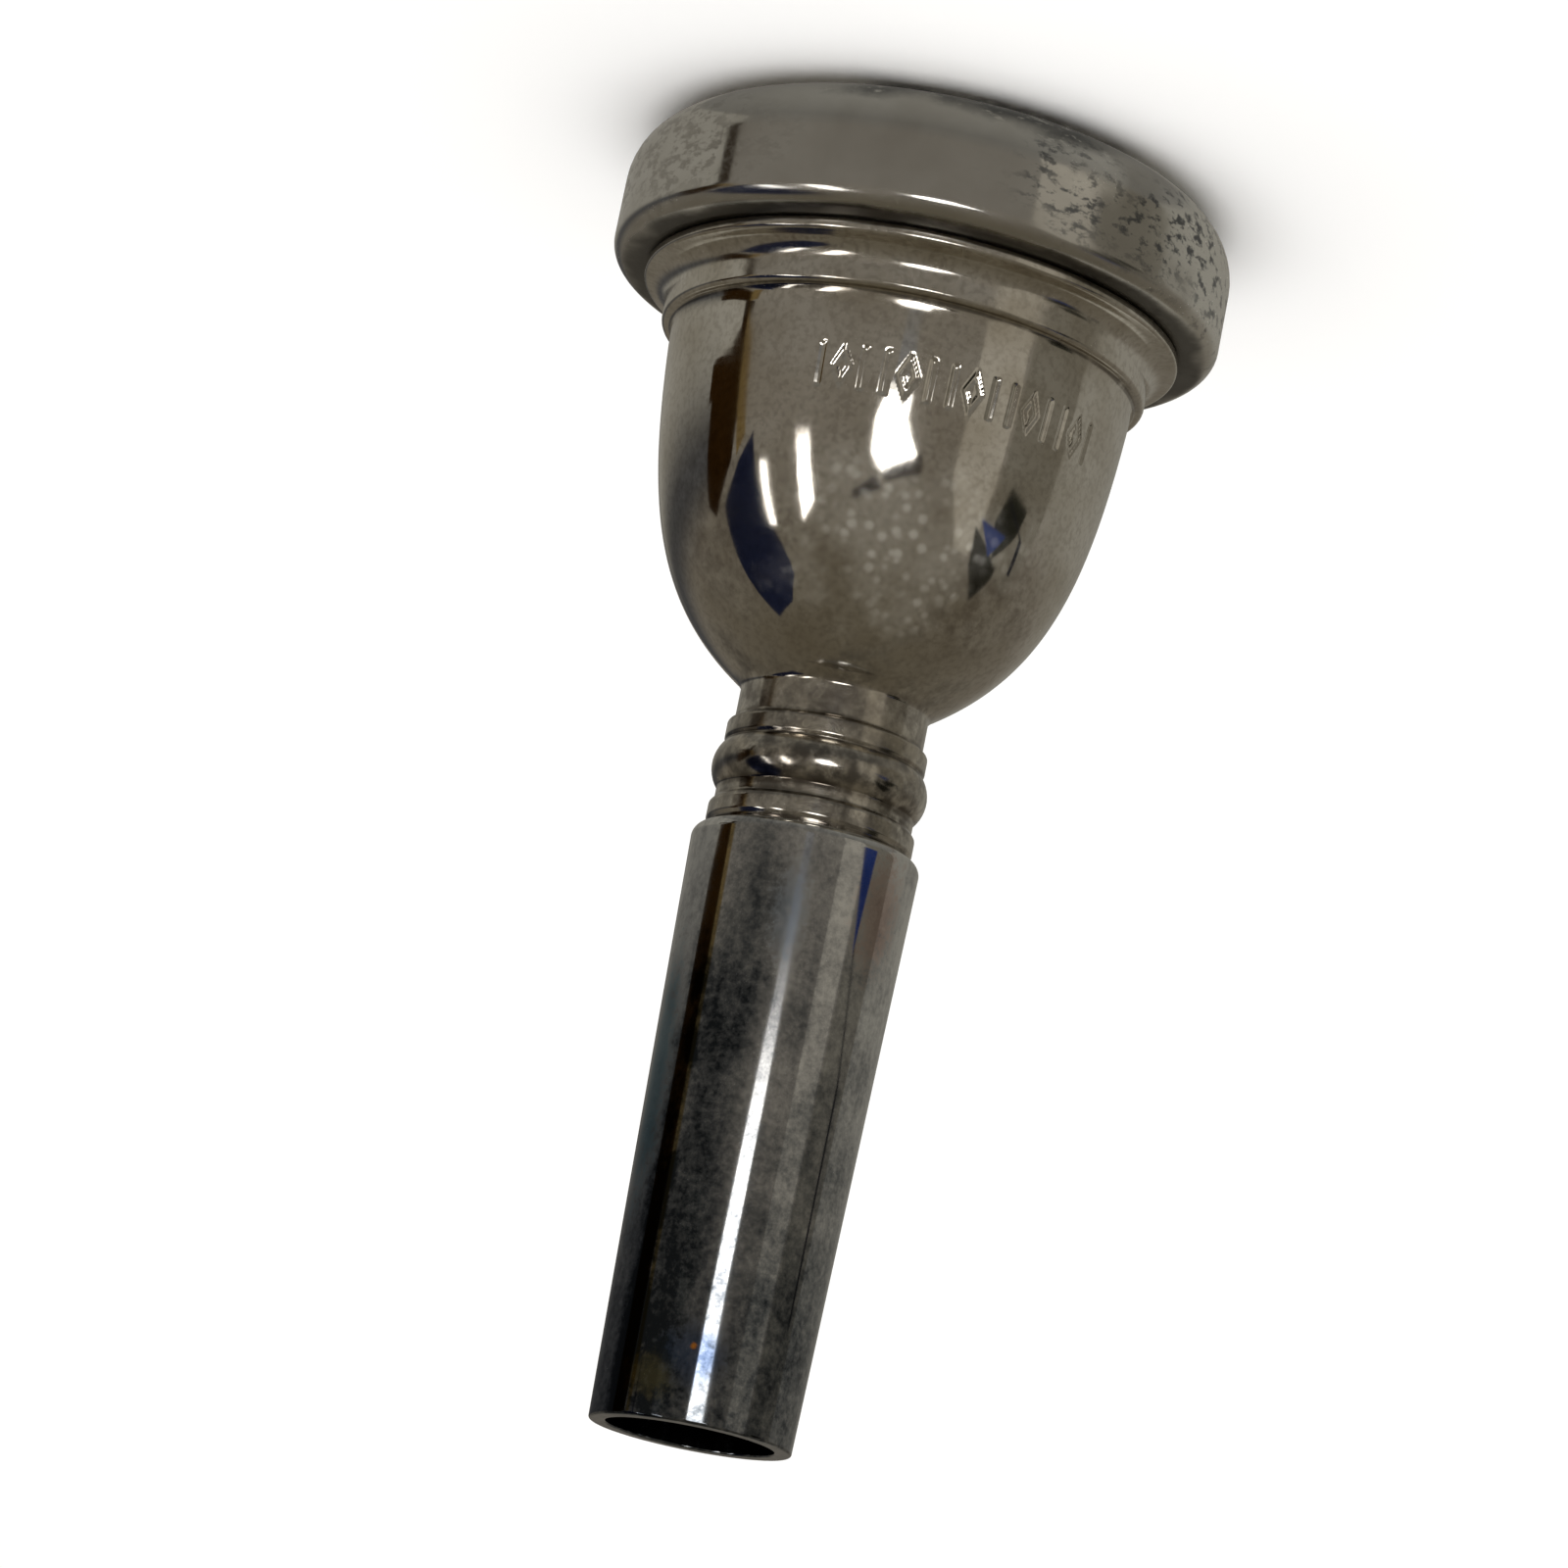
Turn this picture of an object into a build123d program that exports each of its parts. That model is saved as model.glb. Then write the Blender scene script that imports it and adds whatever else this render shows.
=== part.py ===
from build123d import *
import os

# A three-piece brass-instrument mouthpiece: screw rim, cup and shank. Millimetres.
# The axis is Z. The playing face is down at z = 0, and the shank points up.

# Driving dimensions
LENGTH = 81.5  # playing face to shank end
RIM_R = 19.45  # outside of the rim
RIM_HEIGHT = 9.0  # playing face to the seam under the rim
CUP_R = 13.0  # inside of the cup at the bite
CUP_DEPTH = 28.0  # playing face to the throat
THROAT_R = 3.5
THROAT_LENGTH = 3.5
FLANGE_R = 17.15  # lip of the cup's flange, under the rim
COLLAR_R = 15.5  # plain collar below the flange's cove
COLLAR_FOOT = 12.6  # z of the collar's step down to the bowl
BOWL_R = 14.78  # bowl, just below the collar
BOWL_FOOT = 34.45  # z where the bowl runs into the waist
WAIST_R = 5.94
BEAD_R = 7.44  # where the bead's two flanks would meet
SHOULDER = 44.1  # z of the seam between neck and shank
SHANK_END_R = 6.25
SHANK_TAPER = 1 / 20  # on the diameter, as the receiver of a large-bore trombone
BORE_END_R = 5.2
RIM_THREAD_R = 15.9  # threaded boss on top of the cup, plain at its crest radius
RIM_THREAD_LENGTH = 4.6
SHANK_THREAD_R = 5.5  # threaded stub on the neck, plain at its crest radius
SHANK_THREAD_LENGTH = 7.2
CREST_GAP = 0.05  # radial clearance between facing crests
END_GAP = 0.05  # axial clearance at the blind end of each thread
CHAMFER = 0.3
RELIEF = 0.45  # depth of the grooves where each thread runs out

shank_top_r = SHANK_END_R + (LENGTH - SHOULDER) * SHANK_TAPER / 2
throat_end = CUP_DEPTH + THROAT_LENGTH
boss_end = RIM_HEIGHT - RIM_THREAD_LENGTH
stub_end = SHOULDER + SHANK_THREAD_LENGTH
socket_floor = stub_end + END_GAP


def backbore_r(z):
    """Radius of the backbore, which opens evenly from the throat to the shank's end."""
    return THROAT_R + (BORE_END_R - THROAT_R) * (z - throat_end) / (LENGTH - throat_end)


def outline(corners, closed=False):
    """Straight runs between (radius, z, fillet) corners. An open run's ends have no fillet."""
    points = [(r, z) for r, z, fillet in corners]
    fillets = [fillet for r, z, fillet in corners]
    if closed:
        return FilletPolyline(*points, radius=fillets, close=True)
    return FilletPolyline(*points, radius=fillets[1:-1])


def turned(edges):
    """Turn a closed half-section about the axis."""
    return revolve(Plane.XZ * make_face(edges), Axis.Z)


def rim():
    """The ring that the lips rest on, with its blind female thread."""
    thread_r = RIM_THREAD_R + CREST_GAP
    ledge = boss_end - END_GAP
    high_point_r = 15.0
    corners = [
        (CUP_R, ledge, 0),
        (CUP_R, 0.7, 0.6),
        (high_point_r, 0, 2.4),
        (RIM_R, 0, 4.0),
        (RIM_R, RIM_HEIGHT - 0.25, 1.15),
        (FLANGE_R + 0.35, RIM_HEIGHT, 0),
        (thread_r + CHAMFER, RIM_HEIGHT, 0),
        (thread_r, RIM_HEIGHT - CHAMFER, 0),
        (thread_r, ledge + 2 * RELIEF, 0),
        (thread_r + RELIEF, ledge + 2 * RELIEF, 0),
        (thread_r + RELIEF, ledge, 0),
    ]
    return turned(outline(corners, closed=True))


def cup_top():
    """Outline from the seam inside the cup, over the boss, down to the collar's foot."""
    return outline(
        [
            (CUP_R, boss_end, 0),
            (RIM_THREAD_R - CHAMFER, boss_end, 0),
            (RIM_THREAD_R, boss_end + CHAMFER, 0),
            (RIM_THREAD_R, RIM_HEIGHT - 2 * RELIEF, 0),
            (RIM_THREAD_R - RELIEF, RIM_HEIGHT - 2 * RELIEF, 0),
            (RIM_THREAD_R - RELIEF, RIM_HEIGHT, 0),
            (FLANGE_R, RIM_HEIGHT, 0.35),
            (FLANGE_R, RIM_HEIGHT + 0.8, 0.25),
            (COLLAR_R, RIM_HEIGHT + 1.1, 1.35),
            (COLLAR_R, COLLAR_FOOT, 0.35),
            (BOWL_R + 0.15, COLLAR_FOOT, 0.2),
            (BOWL_R, COLLAR_FOOT + 0.5, 0),
        ]
    )


def neck_and_stub():
    """Outline from the bowl's foot, along the turned neck, round the stub to the throat."""
    ring_r = WAIST_R + 0.39
    groove_r = WAIST_R + 0.28
    foot_r = WAIST_R + 0.56
    return outline(
        [
            (WAIST_R + 0.42, BOWL_FOOT, 0),
            (WAIST_R, BOWL_FOOT + 0.45, 0.5),
            (WAIST_R, 37.1, 0.2),
            (ring_r, 37.3, 0.2),
            (ring_r, 38.35, 0.25),
            (groove_r, 38.6, 0.1),
            (BEAD_R, 40.05, 2.15),
            (groove_r, 41.5, 0.2),
            (groove_r, 42.3, 0.15),
            (foot_r, 42.6, 0.3),
            (foot_r, 43.6, 0.3),
            (foot_r - 0.12, 43.85, 0),
            (foot_r - 0.12, SHOULDER, 0),
            (SHANK_THREAD_R - RELIEF / 2, SHOULDER, 0),
            (SHANK_THREAD_R - RELIEF / 2, SHOULDER + RELIEF, 0),
            (SHANK_THREAD_R, SHOULDER + 2 * RELIEF, 0),
            (SHANK_THREAD_R, stub_end - CHAMFER, 0),
            (SHANK_THREAD_R - CHAMFER, stub_end, 0),
            (backbore_r(stub_end), stub_end, 0),
            (THROAT_R, throat_end, 0),
            (THROAT_R, CUP_DEPTH, 0),
        ]
    )


def cup():
    """The cup body: threaded boss, flange, bowl, neck and threaded stub, bored through."""
    bowl_outside = Bezier(
        (BOWL_R, COLLAR_FOOT + 0.5), (14.1, 24.3), (12.5, 30.1), (WAIST_R + 0.42, BOWL_FOOT)
    )
    cup_inside = Bezier((THROAT_R, CUP_DEPTH), (4.3, 19.5), (12.85, 15.5), (CUP_R, boss_end))
    return turned(cup_top() + bowl_outside + neck_and_stub() + cup_inside)


def shank():
    """The tapered tube that goes in the instrument's receiver, with its threaded socket."""
    socket_r = SHANK_THREAD_R + CREST_GAP
    corners = [
        (socket_r, socket_floor, 0),
        (socket_r, SHOULDER + CHAMFER, 0),
        (socket_r + CHAMFER, SHOULDER, 0),
        (shank_top_r, SHOULDER, 0.75),
        (SHANK_END_R, LENGTH, 0.15),
        (BORE_END_R, LENGTH, 0.1),
        (backbore_r(socket_floor), socket_floor, 0),
    ]
    return turned(outline(corners, closed=True))


os.makedirs("parts", exist_ok=True)
for name, solid in {"rim": rim(), "cup": cup(), "shank": shank()}.items():
    export_step(solid, f"parts/{name}.step")
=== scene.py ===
"""A silver-plated brass-instrument mouthpiece in three pieces: rim, cup and shank.

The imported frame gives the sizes. Each piece is turned again here from a smooth half-section, with
its screw thread and stamped marks as real shape, and stands for the plainer node of that name.
"""

import math

import bpy
from mathutils import Matrix, Vector


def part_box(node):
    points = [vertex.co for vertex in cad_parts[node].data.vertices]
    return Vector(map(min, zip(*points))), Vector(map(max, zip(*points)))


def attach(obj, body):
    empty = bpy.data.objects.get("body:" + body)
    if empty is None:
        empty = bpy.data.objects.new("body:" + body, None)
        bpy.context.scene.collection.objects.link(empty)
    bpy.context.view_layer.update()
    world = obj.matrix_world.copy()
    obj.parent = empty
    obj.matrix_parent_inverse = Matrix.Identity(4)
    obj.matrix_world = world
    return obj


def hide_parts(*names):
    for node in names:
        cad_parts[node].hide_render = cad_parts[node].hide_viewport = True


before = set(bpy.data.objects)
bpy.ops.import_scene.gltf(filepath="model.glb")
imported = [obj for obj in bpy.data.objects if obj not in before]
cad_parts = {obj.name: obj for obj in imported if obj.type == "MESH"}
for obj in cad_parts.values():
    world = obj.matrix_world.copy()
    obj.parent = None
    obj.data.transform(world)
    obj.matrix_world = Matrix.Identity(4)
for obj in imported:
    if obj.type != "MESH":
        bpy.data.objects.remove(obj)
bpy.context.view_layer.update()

MM = 0.001


# ---------------------------------------------------------------- sizes, in mm


def height_range(node):
    """Lowest and highest z of a node in the frame, in millimetres."""
    low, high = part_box(node)
    return round(low.z / MM, 2), round(high.z / MM, 2)


RIM_HEIGHT = height_range("rim")[1]
BOSS_END, STUB_END = height_range("cup")
SHOULDER, LENGTH = height_range("shank")
RIM_R = 19.45
HIGH_POINT_R = 15.0  # where the playing face stands highest
FLANGE_R = 17.15
CUP_R = 13.0
CUP_DEPTH = 28.0
THROAT_R = 3.5
THROAT_END = 31.5
COLLAR_R = 15.5
COLLAR_FOOT = 12.6
BOWL_R = 14.78
BOWL_FOOT = 34.45
WAIST_R = 5.94
SHANK_TOP_R = 7.185
SHANK_END_R = 6.25
BORE_END_R = 5.2
BOSS_R = 15.9
STUB_R = 5.5
CREST_GAP = 0.05
RIM_SOCKET_R = BOSS_R + CREST_GAP
SHANK_SOCKET_R = STUB_R + CREST_GAP
BOSS_THREAD = (4.7, 8.1)  # lowest and highest z of each thread
RIM_SOCKET_THREAD = (5.3, 8.7)
STUB_THREAD = (45.0, 51.0)
SHANK_SOCKET_THREAD = (44.6, 51.2)
MALE_DEPTH = 0.3
RIM_SOCKET_DEPTH = 0.38
SHANK_SOCKET_DEPTH = 0.3
RUN_OUT = 0.3  # length over which a thread fades at each end
THREAD_PITCH = 0.75
CREST_END = 0.06  # share of a pitch from the middle of the crest to where the flank starts
ROOT_START = 0.44  # and to where the flank ends
CHAMFER = 0.3
RELIEF = 0.45  # depth of the groove where a thread runs out
BROKEN_EDGE = 0.04  # the smallest rounding on a turned corner
SOCKET_STEP = 0.1  # between section points where there is a thread or a mark to draw
MALE_STEP = 0.12
MARK_STEP = 0.11
MARK_LOW = 16.2  # the band of stamped marks on the bowl
MARK_HIGH = 18.9
MARK_COUNT = 15
MARK_ARC = 82  # degrees
MARK_START = 211  # degrees from +X towards +Y
MARK_MARGIN = 0.4  # finely divided above and below the band
MARK_DEPTH = 0.12
MARK_BEVEL = 0.07  # half the width of a mark's sloping side
BAR_HALF_WIDTH = 0.17
LOZENGE_INSET = 0.3  # from the band's edge to the middle of the lozenge's line
LOZENGE_HALF_LINE = 0.14
LOZENGE_SLOPE = 2.0  # how much taller than wide
SQUARE_ON = 0.45  # a sloping line's width as a share of its height there
OUT_OF_BAND = 1.0  # metres, a height far from any mark
SAME_POINT = 1e-7  # metres, below which points are merged


def backbore_r(z):
    """Radius of the backbore at height z."""
    return THROAT_R + (BORE_END_R - THROAT_R) * (z - THROAT_END) / (LENGTH - THROAT_END)


# ---------------------------------------------------------------- node helper

# Some inputs are given by number. Map Range reads from 1 to 2 and gives from 3 to 4, which are 0
# and 1 unless they are set. Mix takes numbers in 2 and 3, and colours in 6 and 7.


def add(tree, kind, inputs=None, **settings):
    """Add a node with its settings. Each input is a value, or the node or socket that feeds it."""
    node = tree.nodes.new(kind)
    for name, value in settings.items():
        setattr(node, name, value)
    for key, value in (inputs or {}).items():
        if isinstance(value, bpy.types.Node):
            value = value.outputs[0]
        if isinstance(value, bpy.types.NodeSocket):
            tree.links.new(value, node.inputs[key])
        else:
            node.inputs[key].default_value = value
    return node


# ---------------------------------------------------------------- half-sections


def fillet(before, corner, after, radius):
    """Points round a corner, one every few degrees, with the tangent points at both ends."""
    step = 8 if radius > 0.3 else 22 if radius > BROKEN_EDGE else 45  # degrees
    corner = Vector(corner)
    back, on = (Vector(before) - corner).normalized(), (Vector(after) - corner).normalized()
    half = back.angle(on) / 2
    centre = corner + (back + on).normalized() * radius / math.sin(half)
    start = corner + back * radius / math.tan(half) - centre
    sweep = math.pi - 2 * half
    if back.cross(on) > 0:
        sweep = -sweep
    count = max(2, math.ceil(abs(math.degrees(sweep)) / step))
    return [centre + Matrix.Rotation(sweep * i / count, 2) @ start for i in range(count + 1)]


def outline(corners, margin=0.06):
    """Straight runs between (radius, z, fillet) corners, with the fillets drawn as points.

    A long run gets a point just inside each end, so that it shades flat up to its fillets."""
    points = [Vector(corners[0][:2])]
    for before, here, after in zip(corners, corners[1:], corners[2:]):
        points += fillet(before[:2], here[:2], after[:2], max(here[2], BROKEN_EDGE))
    points.append(Vector(corners[-1][:2]))
    kept = []
    for here, after in zip(points, points[1:]):
        kept.append(here)
        run = after - here
        if run.length > 10 * margin:
            kept.append(here + run.normalized() * margin)
            kept.append(after - run.normalized() * margin)
    return kept + points[-1:]


def curve(start, handle_a, handle_b, end, count):
    """Points along a cubic curve, without its first and last."""
    points = []
    for i in range(1, count):
        t = i / count
        a, b, c, d = (1 - t) ** 3, 3 * (1 - t) ** 2 * t, 3 * (1 - t) * t * t, t**3
        handles = b * Vector(handle_a) + c * Vector(handle_b)
        points.append(a * Vector(start) + handles + d * Vector(end))
    return points


def refined(points, low, high, near_r, step):
    """Cut the runs near one radius and between two heights into short steps."""
    kept = []
    for here, after in zip(points, points[1:] + points[:1]):
        kept.append(here)
        middle = (here + after) / 2
        if low < middle.y < high and abs(middle.x - near_r) < 1:
            pieces = math.ceil((after - here).length / step)
            kept += [here.lerp(after, i / pieces) for i in range(1, pieces)]
    return kept


def rim_section():
    """The rim: socket for the boss, bite, playing face and drum."""
    ledge = BOSS_END - CREST_GAP
    in_thread = 7.0  # the section starts and ends part way up the thread
    corners = [
        (RIM_SOCKET_R, in_thread, 0),
        (RIM_SOCKET_R, ledge + 2 * RELIEF, 0),
        (RIM_SOCKET_R + RELIEF, ledge + 2 * RELIEF, 0),
        (RIM_SOCKET_R + RELIEF, ledge, 0),
        (CUP_R, ledge, 0),
        (CUP_R, 0.7, 0.6),
        (HIGH_POINT_R, 0, 2.4),
        (RIM_R, 0, 4.0),
        (RIM_R, RIM_HEIGHT - 0.25, 1.15),
        (FLANGE_R + 0.35, RIM_HEIGHT, 0.15),
        (RIM_SOCKET_R + CHAMFER, RIM_HEIGHT, 0),
        (RIM_SOCKET_R, RIM_HEIGHT - CHAMFER, 0),
        (RIM_SOCKET_R, in_thread, 0),
    ]
    return outline(corners)[:-1]


def cup_section():
    """The cup: boss, flange, bowl, neck, stub, throat and the cup's inside."""
    top = outline(
        [
            (CUP_R, BOSS_END, 0),
            (BOSS_R - CHAMFER, BOSS_END, 0),
            (BOSS_R, BOSS_END + CHAMFER, 0),
            (BOSS_R, RIM_HEIGHT - 2 * RELIEF, 0),
            (BOSS_R - RELIEF, RIM_HEIGHT - 2 * RELIEF, 0),
            (BOSS_R - RELIEF, RIM_HEIGHT, 0),
            (FLANGE_R, RIM_HEIGHT, 0.35),
            (FLANGE_R, RIM_HEIGHT + 0.8, 0.25),
            (COLLAR_R, RIM_HEIGHT + 1.1, 1.35),
            (COLLAR_R, COLLAR_FOOT, 0.35),
            (BOWL_R + 0.15, COLLAR_FOOT, 0.2),
            (BOWL_R, COLLAR_FOOT + 0.5, 0),
        ]
    )
    ring_r, groove_r, foot_r = WAIST_R + 0.39, WAIST_R + 0.28, WAIST_R + 0.56
    neck = outline(
        [
            (WAIST_R + 0.42, BOWL_FOOT, 0),
            (WAIST_R, BOWL_FOOT + 0.45, 0.5),
            (WAIST_R, 37.1, 0.2),
            (ring_r, 37.3, 0.2),
            (ring_r, 38.35, 0.25),
            (groove_r, 38.6, 0.1),
            (WAIST_R + 1.5, 40.05, 2.15),
            (groove_r, 41.5, 0.2),
            (groove_r, 42.3, 0.15),
            (foot_r, 42.6, 0.3),
            (foot_r, 43.6, 0.3),
            (foot_r - 0.12, 43.85, 0),
            (foot_r - 0.12, SHOULDER, 0),
            (STUB_R - RELIEF / 2, SHOULDER, 0),
            (STUB_R - RELIEF / 2, SHOULDER + RELIEF, 0),
            (STUB_R, SHOULDER + 2 * RELIEF, 0),
            (STUB_R, STUB_END - CHAMFER, 0),
            (STUB_R - CHAMFER, STUB_END, 0),
            (backbore_r(STUB_END), STUB_END, 0),
            (THROAT_R, THROAT_END, 0),
            (THROAT_R, CUP_DEPTH, 0),
        ]
    )
    bowl_top, bowl_foot = (BOWL_R, COLLAR_FOOT + 0.5), (WAIST_R + 0.42, BOWL_FOOT)
    bowl = curve(bowl_top, (14.1, 24.3), (12.5, 30.1), bowl_foot, 56)
    inside = curve((THROAT_R, CUP_DEPTH), (4.3, 19.5), (12.85, 15.5), (CUP_R, BOSS_END), 30)
    return top + bowl + neck + inside


def shank_section():
    """The shank: socket for the stub, tapered outside and backbore."""
    floor = STUB_END + CREST_GAP
    in_thread = 48.0
    corners = [
        (SHANK_SOCKET_R, in_thread, 0),
        (SHANK_SOCKET_R, SHOULDER + CHAMFER, 0),
        (SHANK_SOCKET_R + CHAMFER, SHOULDER, 0),
        (SHANK_TOP_R, SHOULDER, 0.75),
        (SHANK_END_R, LENGTH, 0.15),
        (BORE_END_R, LENGTH, 0.1),
        (backbore_r(floor), floor, 0),
        (SHANK_SOCKET_R, floor, 0),
        (SHANK_SOCKET_R, in_thread, 0),
    ]
    return outline(corners)[:-1]


def section_mesh(name, points, threads, marks=False):
    """A row of points in the XZ plane, each with its thread depth and height in the marks' band.

    A thread is (low, high, radius, depth), the depth positive where it is cut outwards."""
    mesh = bpy.data.meshes.new(name)
    mesh.from_pydata([(p.x * MM, 0, p.y * MM) for p in points], [], [])
    depth = mesh.attributes.new("thread_depth", "FLOAT", "POINT")
    height = mesh.attributes.new("mark_height", "FLOAT", "POINT")
    middle = (MARK_LOW + MARK_HIGH) / 2
    for i, p in enumerate(points):
        on_bowl = marks and abs(p.x - BOWL_R) < 1 and abs(p.y - middle) < 3
        height.data[i].value = (p.y - middle) * MM if on_bowl else OUT_OF_BAND
        for low, high, thread_r, cut in threads:
            if abs(p.x - thread_r) < 0.01 and low < p.y < high:
                run_out = min(p.y - low, high - p.y) / RUN_OUT
                depth.data[i].value = cut * min(1, run_out) * MM
    return mesh


# ---------------------------------------------------------------- the turning tree


def turning_tree():
    """Geometry Nodes that turn a row of section points about Z, cut its thread, stamp its marks."""
    tree = bpy.data.node_groups.new("turned_piece", "GeometryNodeTree")
    face = tree.interface
    face.new_socket("Geometry", in_out="OUTPUT", socket_type="NodeSocketGeometry")
    face.new_socket("Section", in_out="INPUT", socket_type="NodeSocketGeometry")
    sizes = (
        ("Divisions", "NodeSocketInt"),
        ("Fine divisions", "NodeSocketInt"),
        ("Fine start", "NodeSocketFloat"),
        ("Fine arc", "NodeSocketFloat"),
        ("Thread pitch", "NodeSocketFloat"),
        ("Mark count", "NodeSocketInt"),
        ("Mark radius", "NodeSocketFloat"),
        ("Mark tall", "NodeSocketFloat"),
        ("Mark depth", "NodeSocketFloat"),
        ("Material", "NodeSocketMaterial"),
    )
    for name, kind in sizes:
        face.new_socket(name, in_out="INPUT", socket_type=kind)
    given = add(tree, "NodeGroupInput").outputs
    rows = add(tree, "GeometryNodeAttributeDomainSize", {0: given["Section"]})
    row_count = add(
        tree, "ShaderNodeMath", {0: rows.outputs["Point Count"], 1: 1.0}, operation="ADD"
    )
    column_count = add(tree, "ShaderNodeMath", {0: given["Divisions"], 1: 1.0}, operation="ADD")
    sheet = add(
        tree, "GeometryNodeMeshGrid", {"Vertices X": row_count, "Vertices Y": column_count}
    )

    # Each point's row in the section, and its column round the axis.
    index = add(tree, "GeometryNodeInputIndex")
    ratio = add(tree, "ShaderNodeMath", {0: index, 1: column_count}, operation="DIVIDE")
    row = add(tree, "ShaderNodeMath", {0: ratio}, operation="FLOOR")
    wrapped = add(
        tree, "ShaderNodeMath", {0: row, 1: rows.outputs["Point Count"]}, operation="MODULO"
    )
    column = add(tree, "ShaderNodeMath", {0: index, 1: column_count}, operation="MODULO")

    # The angle, with the columns closer together where the marks are.
    fine_end = add(
        tree, "ShaderNodeMath", {0: given["Fine start"], 1: given["Fine arc"]}, operation="ADD"
    )
    full_turn = add(
        tree, "ShaderNodeMath", {0: given["Fine start"], 1: 2 * math.pi}, operation="ADD"
    )
    fine_angle = add(
        tree,
        "ShaderNodeMapRange",
        {0: column, 2: given["Fine divisions"], 3: given["Fine start"], 4: fine_end},
    )
    coarse_angle = add(
        tree,
        "ShaderNodeMapRange",
        {0: column, 1: given["Fine divisions"], 2: given["Divisions"], 3: fine_end, 4: full_turn},
    )
    in_fine = add(
        tree, "ShaderNodeMath", {0: column, 1: given["Fine divisions"]}, operation="LESS_THAN"
    )
    angle = add(tree, "ShaderNodeMix", {0: in_fine, 2: coarse_angle, 3: fine_angle})

    # The section's point for this row.
    place = add(tree, "GeometryNodeInputPosition")
    point = add(
        tree,
        "GeometryNodeSampleIndex",
        {"Geometry": given["Section"], "Value": place, "Index": wrapped},
        data_type="FLOAT_VECTOR",
    )
    parts = add(tree, "ShaderNodeSeparateXYZ", {0: point})
    radius, height = parts.outputs["X"], parts.outputs["Z"]

    # A right-handed thread: a rounded ridge that climbs one pitch a turn.
    thread_name = add(tree, "GeometryNodeInputNamedAttribute", {"Name": "thread_depth"})
    depth = add(
        tree,
        "GeometryNodeSampleIndex",
        {"Geometry": given["Section"], "Value": thread_name, "Index": wrapped},
    )
    turns = add(tree, "ShaderNodeMath", {0: angle, 1: 2 * math.pi}, operation="DIVIDE")
    pitches = add(tree, "ShaderNodeMath", {0: height, 1: given["Thread pitch"]}, operation="DIVIDE")
    phase = add(tree, "ShaderNodeMath", {0: pitches, 1: turns}, operation="SUBTRACT")
    ridge = add(tree, "ShaderNodeMath", {0: phase, 1: 0.5}, operation="PINGPONG")
    flank = add(
        tree,
        "ShaderNodeMapRange",
        {0: ridge, 1: CREST_END, 2: ROOT_START},
        interpolation_type="SMOOTHSTEP",
    )
    cut = add(tree, "ShaderNodeMath", {0: depth, 1: flank}, operation="MULTIPLY")
    cut_r = add(tree, "ShaderNodeMath", {0: radius, 1: cut}, operation="ADD")

    # Stamped marks in equal cells round the fine arc: bars, with a lozenge in every third cell.
    mark_name = add(tree, "GeometryNodeInputNamedAttribute", {"Name": "mark_height"})
    up = add(
        tree,
        "GeometryNodeSampleIndex",
        {"Geometry": given["Section"], "Value": mark_name, "Index": wrapped},
    )
    along = add(
        tree,
        "ShaderNodeMapRange",
        {0: angle, 1: given["Fine start"], 2: fine_end, 3: 0.0, 4: given["Mark count"]},
        clamp=False,
    )
    cell = add(tree, "ShaderNodeMath", {0: along}, operation="FLOOR")
    within = add(tree, "ShaderNodeMath", {0: along, 1: cell}, operation="SUBTRACT")
    centred = add(tree, "ShaderNodeMath", {0: within, 1: 0.5}, operation="SUBTRACT")
    arc_length = add(
        tree,
        "ShaderNodeMath",
        {0: given["Fine arc"], 1: given["Mark radius"]},
        operation="MULTIPLY",
    )
    cell_width = add(
        tree, "ShaderNodeMath", {0: arc_length, 1: given["Mark count"]}, operation="DIVIDE"
    )
    across = add(tree, "ShaderNodeMath", {0: centred, 1: cell_width}, operation="MULTIPLY")
    across = add(tree, "ShaderNodeMath", {0: across}, operation="ABSOLUTE")
    up = add(tree, "ShaderNodeMath", {0: up}, operation="ABSOLUTE")
    half_tall = add(
        tree, "ShaderNodeMath", {0: given["Mark tall"], 1: 0.5}, operation="MULTIPLY"
    )
    above = add(tree, "ShaderNodeMath", {0: up, 1: half_tall}, operation="SUBTRACT")
    beside = add(
        tree, "ShaderNodeMath", {0: across, 1: BAR_HALF_WIDTH * MM}, operation="SUBTRACT"
    )
    bar = add(tree, "ShaderNodeMath", {0: above, 1: beside}, operation="MAXIMUM")
    steep = add(tree, "ShaderNodeMath", {0: across, 1: LOZENGE_SLOPE}, operation="MULTIPLY")
    slant = add(tree, "ShaderNodeMath", {0: steep, 1: up}, operation="ADD")
    off_line = add(tree, "ShaderNodeMath", {0: slant, 1: half_tall}, operation="SUBTRACT")
    off_line = add(
        tree, "ShaderNodeMath", {0: off_line, 1: LOZENGE_INSET * MM}, operation="ADD"
    )
    off_line = add(tree, "ShaderNodeMath", {0: off_line}, operation="ABSOLUTE")
    off_line = add(tree, "ShaderNodeMath", {0: off_line, 1: SQUARE_ON}, operation="MULTIPLY")
    lozenge = add(
        tree, "ShaderNodeMath", {0: off_line, 1: LOZENGE_HALF_LINE * MM}, operation="SUBTRACT"
    )
    third = add(tree, "ShaderNodeMath", {0: cell, 1: 3.0}, operation="MODULO")
    is_lozenge = add(tree, "ShaderNodeMath", {0: third, 1: 1.0, 2: 0.1}, operation="COMPARE")
    shape = add(tree, "ShaderNodeMix", {0: is_lozenge, 2: bar, 3: lozenge})
    dent = add(
        tree,
        "ShaderNodeMapRange",
        {0: shape, 1: MARK_BEVEL * MM, 2: -MARK_BEVEL * MM},
        interpolation_type="SMOOTHSTEP",
    )
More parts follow.
